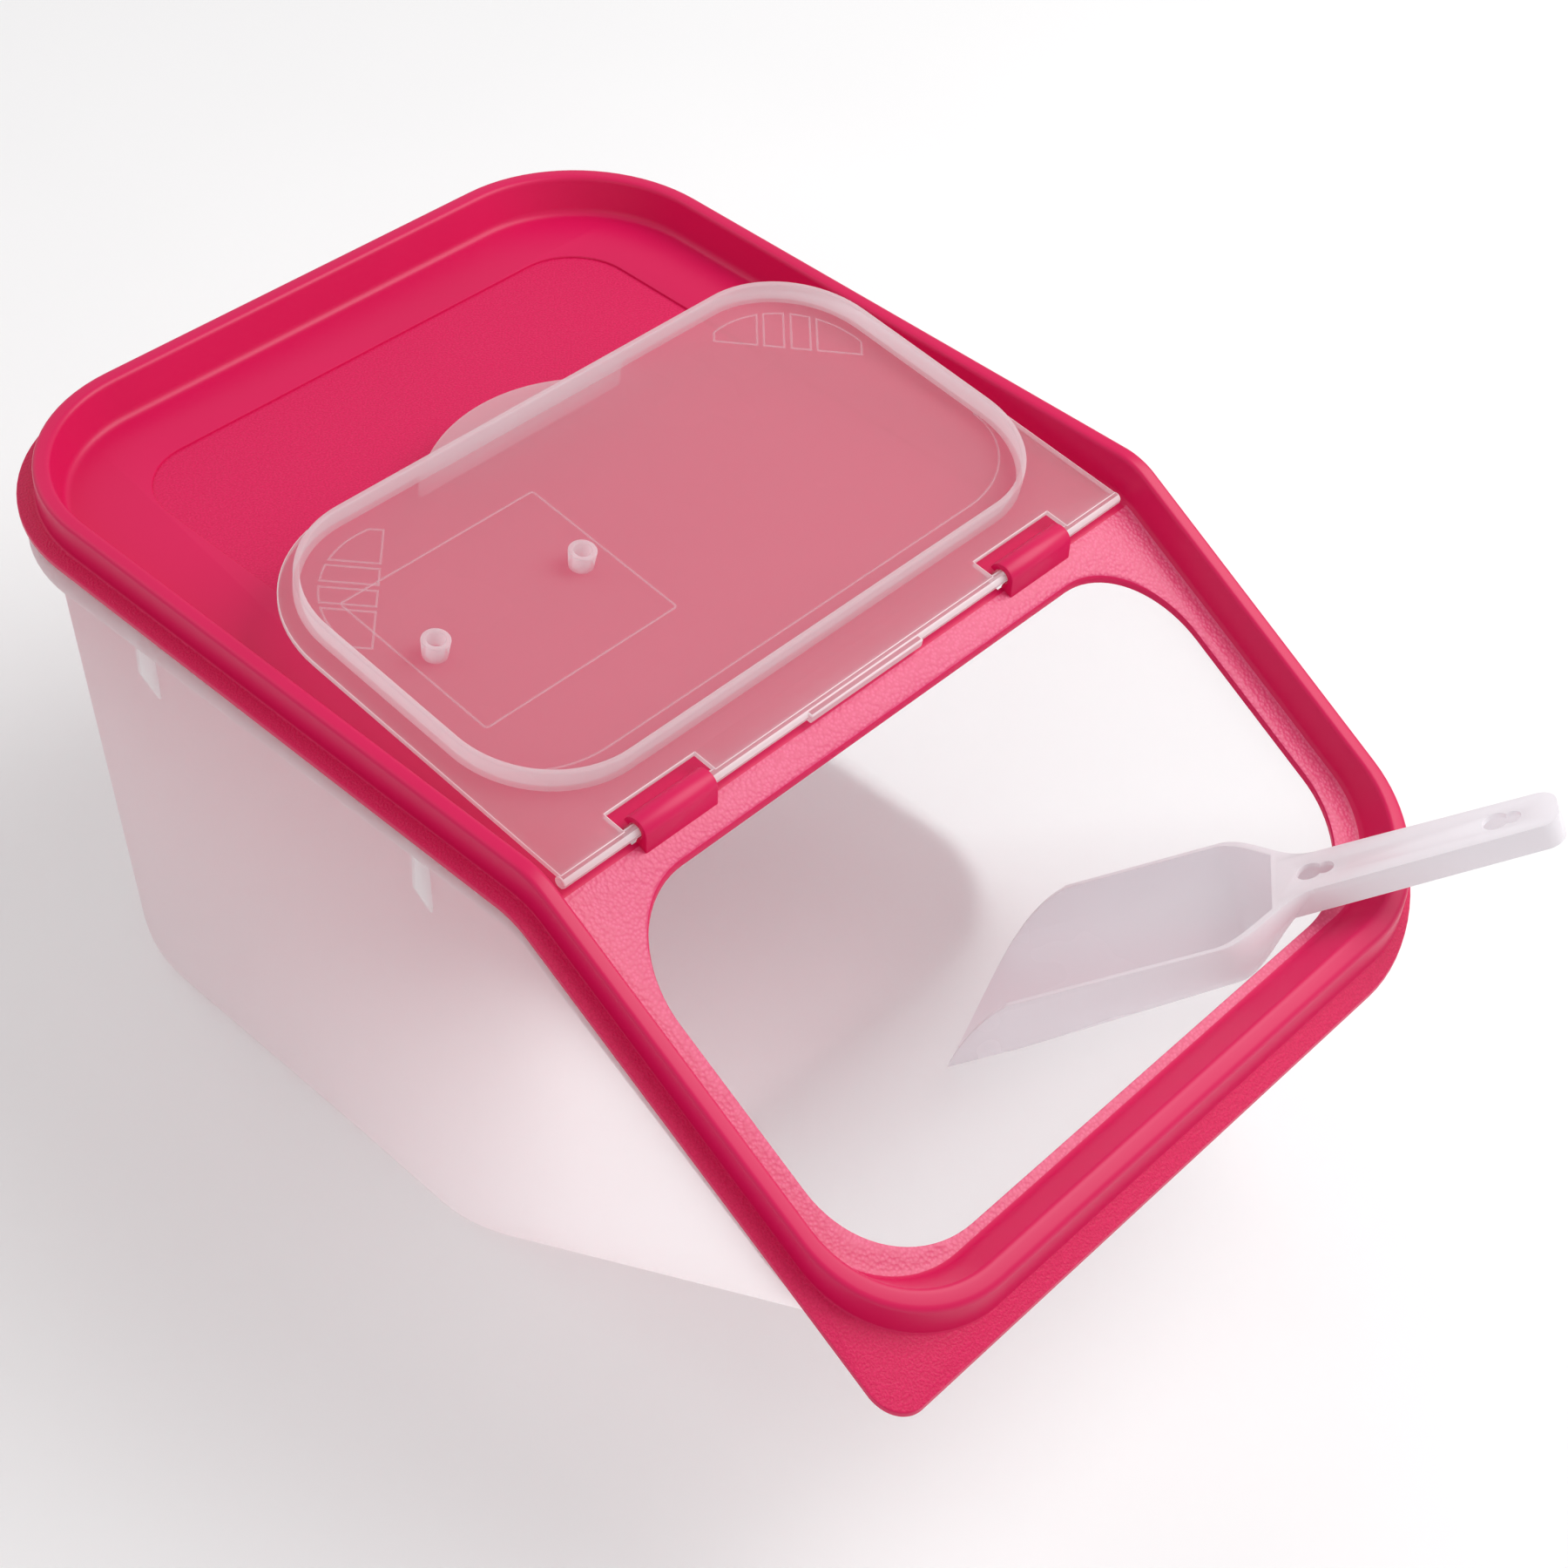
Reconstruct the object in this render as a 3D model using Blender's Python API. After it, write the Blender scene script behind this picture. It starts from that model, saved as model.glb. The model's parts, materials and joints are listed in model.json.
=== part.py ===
"""Pet food bin: a tapered tub, a press-fit cover whose front slopes down to a scooping opening, a flap hinged on
the cover, and a scoop that leans in the opening. The flap is modelled open, lying back over the cover.

Metres, +Z up, +Y to the back, +X to the right seen from the front. The origin is the centre of the tub's flat
floor, on its underside. "Level" is a height above the top of the cover's flange, which is horizontal behind the
hinge line and slopes down in front of it: bend() turns a level into a height.
"""

import math

import bmesh
import bpy
from mathutils import Matrix, Vector

MM = 0.001

# The bent reference surface of cover and rim
HINGE_Y = -118 * MM
HINGE_Z = 178 * MM
SLOPE = math.radians(30.4)
BEND_RADIUS = 22 * MM
BEND_CUTS = 8
CORNER_STEPS = 10

# Cover: half widths, and front and back ends measured from the hinge line
FLANGE = {"half": 130 * MM, "front": -137 * MM, "back": 243 * MM}
BEAD = {"half": 124.7 * MM, "front": -131.9 * MM, "back": 237.7 * MM}
PANEL = {"half": 117.8 * MM, "front": -116.9 * MM, "back": 229 * MM}
FLANGE_BACK_CORNER = 57 * MM
FLANGE_RIGHT_CORNER = 54 * MM
FLANGE_TIP_CORNER = 10 * MM
BEAD_BACK_CORNER = 52 * MM
BEAD_FRONT_CORNER = 40 * MM
PANEL_BACK_CORNER = 45 * MM
PANEL_FRONT_CORNER = 33 * MM
CROWN_WIDTH = 5 * MM
CROWN_LEVEL = 9.8 * MM
CROWN_ROUND = 1.2 * MM
PANEL_LEVEL = -2.5 * MM
PANEL_THICKNESS = 2.5 * MM
FLANGE_THICKNESS = 1.9 * MM
COVER_WALL = 1.5 * MM

# Scooping opening in the slope, its ends measured from the hinge line in plan
OPENING = {"half": 108.8 * MM, "front": -113.5 * MM, "back": -10 * MM}
OPENING_CORNER = 34 * MM

# Shallow recess in the top panel
RECESS = {"half": 91.3 * MM, "front": 18 * MM, "back": 207 * MM}
RECESS_CORNER = 21 * MM
RECESS_DEPTH = 0.8 * MM

# Hinge: a rod moulded on the flap, in two hooks moulded on the cover
ROD_RADIUS = 1.9 * MM
ROD_HALF = 114 * MM
HOOK_X = 73.8 * MM
HOOK_HALF = 13.4 * MM
HOOK_INNER = 2.3 * MM
HOOK_OUTER = 4.3 * MM
HOOK_FOOT = 6.8 * MM
HOOK_SLOT = {"front": -0.6 * MM, "back": 4.6 * MM, "side": 1.5 * MM}
STOP_HALF = 23 * MM
STOP_REACH = 3.0 * MM
STOP_GROOVE = 4.0 * MM

# Flap, along its own plane from the rod's axis
FLAP_TILT = math.radians(6.5)
FLAP_HALF = 113.4 * MM
FLAP_LENGTH = 135.7 * MM
FLAP_CORNER = 40 * MM
FLAP_FACES = (0.4 * MM, 2.0 * MM)
NOTCH_HALF = 16.6 * MM
NOTCH_DEPTH = 8 * MM
SEAL = {"half": 107.6 * MM, "front": 14.6 * MM, "back": 131.7 * MM}
SEAL_CORNER = 33 * MM
SEAL_WALL = 1.8 * MM
SEAL_TOP = 9 * MM
SNAP_POSITIONS = (-55 * MM, -23 * MM, 27 * MM)
SNAP_SIZE = (7 * MM, 0.5 * MM, 1.6 * MM)
PEG_PLACES = ((-86.5 * MM, 77.4 * MM), (-32.3 * MM, 77.4 * MM))
PEG_RADII = (4.2 * MM, 2.6 * MM)
PEG_TOP = 8 * MM
TAB_HALF = 40 * MM
TAB_REACH = 16.8 * MM
TAB_FACES = (-10.6 * MM, -9.1 * MM)
TAB_WALL = 1.5 * MM

# Tub
TUB_WALL = 1.8 * MM
TUB_GAP = 1.9 * MM
RIM_GAP = 0.3 * MM
RIM_THICKNESS = 2 * MM
RIM_ROUND = 0.6 * MM
RIM = {"half": 128.3 * MM, "front": -134.3 * MM, "back": 241.3 * MM}
RIM_FRONT_CORNER = 52 * MM
RIM_BACK_CORNER = 55 * MM
SKIRT_WALL = 1.6 * MM
SKIRT_LEVEL = -9 * MM
SKIRT_TAPER = -0.02
LIP_LEVEL = 3 * MM
LIP_GAP = 2.1 * MM
LIP_THICKNESS = 1.6 * MM
FLOOR = {"half": 116.7 * MM, "front": 6.2 * MM, "back": 229.7 * MM}
FLOOR_FRONT_CORNER = 46 * MM
FLOOR_BACK_CORNER = 58 * MM
FLOOR_ROUND = 9 * MM
RIB_PLACES = (41 * MM, 156 * MM)
RIB_HALF = 0.8 * MM
RIB_DEPTH = 2.3 * MM
RIB_RISE = 13 * MM
RIB_FOOT_LEVEL = -36 * MM

# Scoop: the front end of its rim's centre line, its axis and its roll about that axis
SCOOP_FRONT = Vector((27.8 * MM, HINGE_Y - 41.8 * MM, HINGE_Z - 102.4 * MM))
SCOOP_AXIS = Vector((0.58, -0.67, 0.46)).normalized()
SCOOP_ROLL = math.radians(12)
SCOOP_WALL = 1.6 * MM
BOWL_LENGTH = 87 * MM
BOWL_HALF = 27 * MM
BOWL_DEPTH = (28 * MM, 22.5 * MM)
BOWL_ROUND = 0.9
SHOULDER = (68 * MM, 96 * MM)
LIP_TOP = 14 * MM
LIP_TIP = 24 * MM
LIP_CURVE = 0.6
LIP_SKEW = 0.3
HANDLE_END = 167 * MM
HANDLE_HALF = (9.5 * MM, 8.5 * MM)
HANDLE_DEPTH = 8 * MM
HANDLE_CORNER = 5 * MM
HOLE_PLACES = (97.4 * MM, 151.6 * MM)
HOLE_RADII = (3.9 * MM, 2.8 * MM)
HOLE_SPREAD = 4.6 * MM

PINK = (0.80, 0.012, 0.095)
FROSTED = (0.86, 0.85, 0.86)
WHITE = (0.87, 0.86, 0.88)


def clear_scene():
    for obj in list(bpy.data.objects):
        bpy.data.objects.remove(obj)


def material(name, colour, roughness, alpha=1.0):
    made = bpy.data.materials.new(name)
    made.use_nodes = True
    shader = made.node_tree.nodes["Principled BSDF"]
    shader.inputs["Base Color"].default_value = (*colour, 1)
    shader.inputs["Roughness"].default_value = roughness
    shader.inputs["Metallic"].default_value = 0
    shader.inputs["Alpha"].default_value = alpha
    return made


def bend(y):
    """Height of the cover's reference surface at y, in world coordinates."""
    from_hinge = y - HINGE_Y
    tangent = BEND_RADIUS * math.tan(SLOPE / 2)
    if from_hinge >= tangent:
        return HINGE_Z
    if from_hinge <= -tangent * math.cos(SLOPE):
        return HINGE_Z + from_hinge * math.tan(SLOPE)
    return HINGE_Z - BEND_RADIUS + math.sqrt(BEND_RADIUS**2 - (from_hinge - tangent) ** 2)


def bend_lines():
    """The y of each line along which a bent face is cut, from front to back."""
    tangent = BEND_RADIUS * math.tan(SLOPE / 2)
    turns = [SLOPE * step / (BEND_CUTS - 1) for step in range(BEND_CUTS)]
    return sorted(HINGE_Y + tangent - BEND_RADIUS * math.sin(turn) for turn in turns)


def corner(centre_x, centre_y, radius_x, radius_y, start, steps=CORNER_STEPS):
    """Points of a quarter ellipse that starts at the angle start, in degrees, and turns anticlockwise."""
    turns = [math.radians(start + 90 * step / steps) for step in range(steps + 1)]
    return [(centre_x + radius_x * math.cos(turn), centre_y + radius_y * math.sin(turn)) for turn in turns]


def rounded(size, radii, side_cuts=(), steps=CORNER_STEPS):
    """Anticlockwise outline of a rectangle with elliptical corners.

    radii holds (x, y) pairs for the corners front left, front right, back right and back left. side_cuts are
    fractions along both straight sides, from front to back, where extra points go.
    """
    half, front, back = size["half"], size["front"], size["back"]
    left_front, right_front, right_back, left_back = radii
    points = corner(-half + left_front[0], front + left_front[1], *left_front, 180, steps)
    points += corner(half - right_front[0], front + right_front[1], *right_front, 270, steps)
    low, high = front + right_front[1], back - right_back[1]
    points += [(half, low + (high - low) * cut) for cut in side_cuts]
    points += corner(half - right_back[0], back - right_back[1], *right_back, 0, steps)
    points += corner(-half + left_back[0], back - left_back[1], *left_back, 90, steps)
    low, high = front + left_front[1], back - left_back[1]
    points += [(-half, low + (high - low) * cut) for cut in reversed(side_cuts)]
    return points


def grown(size, by, front=None):
    """The size with every side moved out by a distance; front gives the front's own distance."""
    return {
        "half": size["half"] + by,
        "front": size["front"] - (by if front is None else front),
        "back": size["back"] + by,
    }


def on_slope(radius):
    """Radii in plan of a corner that is round on the slope."""
    return (radius, radius * math.cos(SLOPE))


def corners(front, back):
    return (on_slope(front), on_slope(front), (back, back), (back, back))


def loft(rings, closed_ends=True):
    """A bmesh through rings of points; its two end rings are filled, or joined to each other."""
    shape = bmesh.new()
    made = [[shape.verts.new(point) for point in ring] for ring in rings]
    pairs = list(zip(made, made[1:]))
    if not closed_ends:
        pairs.append((made[-1], made[0]))
    for lower, upper in pairs:
        for index in range(len(lower)):
            after = (index + 1) % len(lower)
            shape.faces.new((lower[index], lower[after], upper[after], upper[index]))
    if closed_ends:
        shape.faces.new(reversed(made[0]))
        shape.faces.new(made[-1])
    bmesh.ops.recalc_face_normals(shape, faces=shape.faces)
    return shape


def prism(outline, low, high):
    """A straight prism on an outline in the XY plane."""
    return loft([[(x, y, low) for x, y in outline], [(x, y, high) for x, y in outline]])


def block(low, high):
    outline = [(low[0], low[1]), (high[0], low[1]), (high[0], high[1]), (low[0], high[1])]
    return prism(outline, low[2], high[2])


def bar_along_x(outline, low, high):
    """A prism along X on an outline of (y, z) points."""
    return loft([[(low, y, z) for y, z in outline], [(high, y, z) for y, z in outline]])


def to_object(shape, name, finish=None):
    mesh = bpy.data.meshes.new(name)
    shape.to_mesh(mesh)
    shape.free()
    if finish:
        mesh.materials.append(finish)
    made = bpy.data.objects.new(name, mesh)
    bpy.context.scene.collection.objects.link(made)
    return made


def helper(shape, name):
    """A shape that only cuts or joins: it isn't part of the object."""
    made = to_object(shape, name)
    made.hide_render = True
    made.display_type = "WIRE"
    return made


def combine(target, other, operation):
    modifier = target.modifiers.new(other.name, "BOOLEAN")
    modifier.operation = operation
    modifier.solver = "EXACT"
    modifier.object = other


def settled(target):
    """Replaces the object's mesh by the one its modifiers make, and returns it as a bmesh."""
    graph = bpy.context.evaluated_depsgraph_get()
    mesh = bpy.data.meshes.new_from_object(target.evaluated_get(graph))
    target.modifiers.clear()
    target.data = mesh
    shape = bmesh.new()
    shape.from_mesh(mesh)
    return shape


def smooth(made, degrees=32):
    made.data.shade_smooth()
    made.data.set_sharp_from_angle(angle=math.radians(degrees))


def beaded(by, front_corner=BEAD_FRONT_CORNER, back_corner=BEAD_BACK_CORNER):
    """The bead's outline moved in by a distance, as a size and its corner radii."""
    return grown(BEAD, -by), corners(front_corner - by, back_corner - by)


def cover_layers():
    """Outlines of the cover from the top panel over the bead to the flange and back underneath, with levels."""
    tip = (FLANGE_TIP_CORNER, FLANGE_TIP_CORNER)
    back = (FLANGE_BACK_CORNER, FLANGE_BACK_CORNER)
    flange = (FLANGE, (tip, on_slope(FLANGE_RIGHT_CORNER), back, back))
    panel = (PANEL, corners(PANEL_FRONT_CORNER, PANEL_BACK_CORNER))
    under_radii = corners(PANEL_FRONT_CORNER + COVER_WALL, PANEL_BACK_CORNER + COVER_WALL)
    under_panel = (grown(PANEL, COVER_WALL, 2.6 * MM), under_radii)
    roof = CROWN_LEVEL - COVER_WALL
    return [
        (*panel, PANEL_LEVEL),
        (*beaded(CROWN_WIDTH), CROWN_LEVEL - CROWN_ROUND),
        (*beaded(CROWN_WIDTH - CROWN_ROUND / 2), CROWN_LEVEL),
        (*beaded(CROWN_ROUND), CROWN_LEVEL),
        (*beaded(0), CROWN_LEVEL - CROWN_ROUND),
        (*beaded(0), 0),
        (*flange, 0),
        (*flange, -FLANGE_THICKNESS),
        (*beaded(COVER_WALL), -FLANGE_THICKNESS),
        (*beaded(COVER_WALL), roof),
        (*beaded(CROWN_WIDTH - 1.3 * MM), roof),
        (*under_panel, PANEL_LEVEL - PANEL_THICKNESS),
    ]


def hook_section(face):
    """Outline (forward, up) of a hinge hook about the rod's axis; forward runs down the slope, face is the panel."""
    steps = 12
    first, last = math.radians(38), math.radians(196)
    outer = [first + (last - first) * step / steps for step in range(steps + 1)]
    inner = [last - (last - math.radians(-40)) * step / steps for step in range(steps + 1)]
    sunk = face - 0.6 * MM
    points = [(HOOK_FOOT, sunk)]
    points += [(HOOK_OUTER * math.cos(turn), HOOK_OUTER * math.sin(turn)) for turn in outer]
    points += [(HOOK_INNER * math.cos(turn), HOOK_INNER * math.sin(turn)) for turn in inner]
    points.append((HOOK_INNER * math.cos(math.radians(-40)) + 0.3 * MM, sunk))
    return points


def slope_to_world(forward, up):
    y = HINGE_Y - forward * math.cos(SLOPE) - up * math.sin(SLOPE)
    z = HINGE_Z - forward * math.sin(SLOPE) + up * math.cos(SLOPE)
    return y, z


def make_cover(finish):
    rings = []
    for size, radii, level in cover_layers():
        outline = rounded(size, radii)
        rings.append([(x, y + HINGE_Y, level) for x, y in outline])
    cover = to_object(loft(rings), "cover", finish)
    below, above = PANEL_LEVEL - 2 * PANEL_THICKNESS, CROWN_LEVEL

    def cutter(name, size, radii, low):
        outline = [(x, y + HINGE_Y) for x, y in rounded(size, radii)]
        made = helper(prism(outline, low, above), name)
        combine(cover, made, "DIFFERENCE")

    cutter("opening_cutter", OPENING, corners(OPENING_CORNER, OPENING_CORNER * math.cos(SLOPE)), below)
    even = (RECESS_CORNER, RECESS_CORNER)
    cutter("recess_cutter", RECESS, (even,) * 4, PANEL_LEVEL - RECESS_DEPTH)
    for side in (-1, 1):
        reach = HOOK_HALF + HOOK_SLOT["side"]
        low = (side * HOOK_X - reach, HINGE_Y + HOOK_SLOT["front"], below)
        high = (side * HOOK_X + reach, HINGE_Y + HOOK_SLOT["back"], above)
        combine(cover, helper(block(low, high), f"hook_slot_cutter_{side + 1}"), "DIFFERENCE")
    shape = settled(cover)
    for line in bend_lines():
        everything = shape.verts[:] + shape.edges[:] + shape.faces[:]
        bmesh.ops.bisect_plane(shape, geom=everything, plane_co=(0, line, 0), plane_no=(0, 1, 0), dist=1e-6)
    for vert in shape.verts:
        vert.co.z += bend(vert.co.y)
    shape.to_mesh(cover.data)
    shape.free()

    groove_turns = [math.tau * step / 24 for step in range(24)]
    groove = [
        (HINGE_Y + STOP_GROOVE * math.cos(turn), HINGE_Z + STOP_GROOVE * math.sin(turn)) for turn in groove_turns
    ]
    reach = STOP_HALF + 0.8 * MM
    combine(cover, helper(bar_along_x(groove, -reach, reach), "stop_groove_cutter"), "DIFFERENCE")
    face = PANEL_LEVEL * math.cos(SLOPE)
    section = [slope_to_world(forward, up) for forward, up in hook_section(face)]
    for side in (-1, 1):
        middle = side * HOOK_X
        hook = helper(bar_along_x(section, middle - HOOK_HALF, middle + HOOK_HALF), f"hook_{side + 1}")
        combine(cover, hook, "UNION")
    smooth(settle_in_place(cover))
    return cover


def settle_in_place(target):
    shape = settled(target)
    shape.to_mesh(target.data)
    shape.free()
    return target


def flap_outline():
    """Outline (x, along) of the plate: notched round both hooks and round at its free corners."""
    along = 0.2 * MM
    points = [(-FLAP_HALF, along)]
    for side in (-1, 1):
        low, high = side * HOOK_X - NOTCH_HALF, side * HOOK_X + NOTCH_HALF
        points += [(low, along), (low, NOTCH_DEPTH), (high, NOTCH_DEPTH), (high, along)]
    points.append((FLAP_HALF, along))
    points += corner(FLAP_HALF - FLAP_CORNER, FLAP_LENGTH - FLAP_CORNER, FLAP_CORNER, FLAP_CORNER, 0)
    points += corner(-FLAP_HALF + FLAP_CORNER, FLAP_LENGTH - FLAP_CORNER, FLAP_CORNER, FLAP_CORNER, 90)
    return points


def tab_outline():
    """Outline of the thumb tab's lens: a circle's segment on the free edge."""
    radius = (TAB_HALF**2 + TAB_REACH**2) / (2 * TAB_REACH)
    spread = math.asin(TAB_HALF / radius)
    steps = 16
    turns = [math.pi / 2 - spread + 2 * spread * step / steps for step in range(steps + 1)]
    centre = FLAP_LENGTH + TAB_REACH - radius
    points = [(radius * math.cos(turn), centre + radius * math.sin(turn)) for turn in turns]
    return points + [(-TAB_HALF, FLAP_LENGTH - TAB_WALL * 0.8), (TAB_HALF, FLAP_LENGTH - TAB_WALL * 0.8)]


def circle(radius, steps, centre=(0, 0)):
    turns = [math.tau * step / steps for step in range(steps)]
    return [(centre[0] + radius * math.cos(turn), centre[1] + radius * math.sin(turn)) for turn in turns]


def make_flap(finish):
    """The flap about its rod's axis, in its own frame: X along the rod, Y along the plate, Z out of its inside."""
    hinge = bpy.data.objects.new("flap_axis", None)
    hinge.location = (0, HINGE_Y, HINGE_Z)
    hinge.rotation_euler = (FLAP_TILT, 0, 0)
    bpy.context.scene.collection.objects.link(hinge)
    flap = to_object(prism(flap_outline(), *FLAP_FACES), "flap", finish)
    flap.parent = hinge

    def add(shape, name, operation="UNION"):
        other = helper(shape, name)
        other.parent = hinge
        combine(flap, other, operation)

    add(bar_along_x(circle(ROD_RADIUS, 20), -ROD_HALF, ROD_HALF), "rod")
    stop = (STOP_HALF, 0, 1.5 * MM)
    add(block((-stop[0], -STOP_REACH, -stop[2]), stop), "stop_tongue")
    even = ((SEAL_CORNER, SEAL_CORNER),) * 4
    inner = ((SEAL_CORNER - SEAL_WALL,) * 2,) * 4
    base = sum(FLAP_FACES) / 2
    outside, inside = rounded(SEAL, even), rounded(grown(SEAL, -SEAL_WALL), inner)
    rings = [
        [(x, y, base) for x, y in outside],
        [(x, y, SEAL_TOP) for x, y in outside],
        [(x, y, SEAL_TOP) for x, y in inside],
        [(x, y, base) for x, y in inside],
    ]
    add(loft(rings, closed_ends=False), "seal_wall")
    for number, (x, along) in enumerate(PEG_PLACES):
        outer, bore = (circle(radius, 20, (x, along)) for radius in PEG_RADII)
        tube = [
            [(a, b, base) for a, b in outer],
            [(a, b, PEG_TOP) for a, b in outer],
            [(a, b, PEG_TOP) for a, b in bore],
            [(a, b, base) for a, b in bore],
        ]
        add(loft(tube, closed_ends=False), f"peg_{number}")
    for number, x in enumerate(SNAP_POSITIONS):
        wide, proud, tall = SNAP_SIZE
        low = (x - wide, SEAL["back"] - SEAL_WALL / 2, SEAL_TOP - 2 * tall)
        add(block(low, (x + wide, SEAL["back"] + proud, SEAL_TOP - tall)), f"snap_{number}")
    low = (-TAB_HALF, FLAP_LENGTH - TAB_WALL, TAB_FACES[0])
    add(block(low, (TAB_HALF, FLAP_LENGTH - 0.01 * MM, base)), "tab_wall")
    add(prism(tab_outline(), *TAB_FACES), "tab_lens")
    return flap


def rim_ring(size, radii, level, cuts, taper=0):
    """The bent ring of an outline; taper changes its level along Y."""
    outline = [(x, y + HINGE_Y, level + taper * y) for x, y in rounded(size, radii, cuts)]
    return [Vector((x, y, height + bend(y))) for x, y, height in outline]


def rounded_foot(low_ring, high_ring, inward, height):
    """Rings that round the edge between a floor and the walls ruled up to high_ring, from the floor outwards."""
    rings = []
    steps = 4
    for step in range(steps + 1):
        share = step / steps
        ring = []
        for inner, edge, high in zip(inward, low_ring, high_ring):
            up = edge + (high - edge).normalized() * height
            ring.append(inner * (1 - share) ** 2 + edge * 2 * share * (1 - share) + up * share**2)
        rings.append(ring)
    return rings


def floor_ring(by, size, height, cuts):
    """The floor's outline moved in by a distance; the front moves as the size says."""
    radii = [(radius - by, radius - by) for radius in (FLOOR_FRONT_CORNER, FLOOR_BACK_CORNER)]
    even = (radii[0], radii[0], radii[1], radii[1])
    return [Vector((x, y + HINGE_Y, height)) for x, y in rounded(size, even, cuts)]


def make_tub(finish):
    straight_front = BEAD["front"] + BEAD_FRONT_CORNER * math.cos(SLOPE)
    straight = BEAD["back"] - BEAD_BACK_CORNER - straight_front
    cuts = [(line - HINGE_Y - straight_front) / straight for line in bend_lines()]

    def wall(by, level):
        return rim_ring(*beaded(by), level, cuts)

    def rim(by, level, taper=0):
        radii = corners(RIM_FRONT_CORNER - by, RIM_BACK_CORNER - by)
        return rim_ring(grown(RIM, -by), radii, level, cuts, taper)

    rim_top = -FLANGE_THICKNESS - RIM_GAP
    rim_bottom = rim_top - RIM_THICKNESS
    wall_out = wall(TUB_GAP, rim_bottom)
    outside = [
        wall_out,
        rim(SKIRT_WALL, rim_bottom),
        rim(SKIRT_WALL, SKIRT_LEVEL, SKIRT_TAPER),
        rim(0, SKIRT_LEVEL, SKIRT_TAPER),
        rim(0, rim_top - RIM_ROUND),
        rim(RIM_ROUND, rim_top),
        wall(LIP_GAP, rim_top),
        wall(LIP_GAP, LIP_LEVEL),
    ]
    lip_top = wall(LIP_GAP + LIP_THICKNESS, LIP_LEVEL)

    fold = TUB_WALL * math.tan(SLOPE / 2)
    inner_floor = grown(FLOOR, -TUB_WALL, -fold)
    inner_round = FLOOR_ROUND - TUB_WALL
    outer_edge = floor_ring(0, FLOOR, 0, cuts)
    outer_flat = floor_ring(FLOOR_ROUND, grown(FLOOR, -FLOOR_ROUND), 0, cuts)
    inner_edge = floor_ring(TUB_WALL, inner_floor, TUB_WALL, cuts)
    inner_flat = floor_ring(FLOOR_ROUND, grown(inner_floor, -inner_round), TUB_WALL, cuts)
    outer_foot = rounded_foot(outer_edge, wall_out, outer_flat, FLOOR_ROUND)
    inner_foot = rounded_foot(inner_edge, lip_top, inner_flat, inner_round)
    tub = to_object(loft(outer_foot + outside + [lip_top] + inner_foot[::-1]), "tub", finish)
    for number, place in enumerate(RIB_PLACES):
        for side in (-1, 1):
            rib = helper(rib_shape(place, side, rim_bottom), f"rim_rib_{number}_{side + 1}")
            combine(tub, rib, "UNION")
    return tub


def rib_shape(place, side, rim_bottom):
    """A gusset between the skirt and the side wall, which it runs a little into."""
    near = RIM["half"] - SKIRT_WALL + RIM_ROUND
    deep = BEAD["half"] - TUB_GAP - RIB_DEPTH
    top = bend(place + HINGE_Y) + rim_bottom + RIM_ROUND
    foot = HINGE_Z + RIB_FOOT_LEVEL
    section = [(deep, foot), (deep + TUB_WALL, foot), (near, foot + RIB_RISE), (near, top), (deep, top)]
    ends = (place + HINGE_Y - RIB_HALF, place + HINGE_Y + RIB_HALF)
    return loft([[(side * x, y, z) for x, z in section] for y in ends])


def scoop_frame():
    """Matrix from the scoop's own frame: X along its axis, Y across it, Z up out of the bowl."""
    level = (Vector((0, 0, 1)) - SCOOP_AXIS * SCOOP_AXIS.z).normalized()
    across = level.cross(SCOOP_AXIS)
    up = level * math.cos(SCOOP_ROLL) + across * math.sin(SCOOP_ROLL)
    across = up.cross(SCOOP_AXIS)
    turn = Matrix((SCOOP_AXIS, across, up)).transposed()
    return Matrix.Translation(SCOOP_FRONT) @ turn.to_4x4()


def ease(share):
    share = min(max(share, 0), 1)
    return share * share * (3 - 2 * share)


def bowl_section(x, inset):
    """Half width and depth of the bowl at x, less a wall."""
    start, end = SHOULDER
    shrink = ease((x + inset - start) / (end - start))
    half = BOWL_HALF + (HANDLE_HALF[0] - BOWL_HALF) * shrink
    depth = BOWL_DEPTH[0] + (BOWL_DEPTH[1] - BOWL_DEPTH[0]) * max(x / BOWL_LENGTH, 0)
    depth += (HANDLE_DEPTH - depth) * shrink
    return half - inset, depth - inset


def bowl(inset, top, end):
    """A solid filled bowl: U sections from in front of the lip to the end, narrowing at the shoulder."""
    around, along = 20, 9
    straight = SHOULDER[0] - inset
    places = [-LIP_TIP * 1.4 - inset, 0, straight / 2]
    places += [straight + (end - straight) * step / along for step in range(along + 1)]
    rings = []
    for x in places:
        half, depth = bowl_section(x, inset)
        ring = [(x, -half, top), (x, half, top)] if top else []
        for step in range(around + 1):
            turn = math.pi * (around - step) / around
            wide = math.copysign(abs(math.cos(turn)) ** BOWL_ROUND, math.cos(turn))
            point = (x, -half * wide, -depth * math.sin(turn) ** BOWL_ROUND)
            ring.append(point)
        rings.append(ring)
    return loft(rings)


def lip_cutter():
    """What is cut off the bowl's front, to leave a lip that falls from the rim to the tip in a slanted curve."""
    steps, rise, reach = 14, 2 * MM, 32 * MM
    depths = [0.015 + 1.2 * (step / steps) ** 1.5 for step in range(steps + 1)]
    curve = [(LIP_TOP - (LIP_TOP + LIP_TIP) * deep**LIP_CURVE, -BOWL_DEPTH[0] * deep) for deep in depths]
    front = -LIP_TIP * 2
    outline = [(front, rise), (curve[0][0] + rise, rise)] + curve + [(front, curve[-1][1])]
    return loft([[(x + LIP_SKEW * y, y, z) for x, z in outline] for y in (-reach, reach)])


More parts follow.
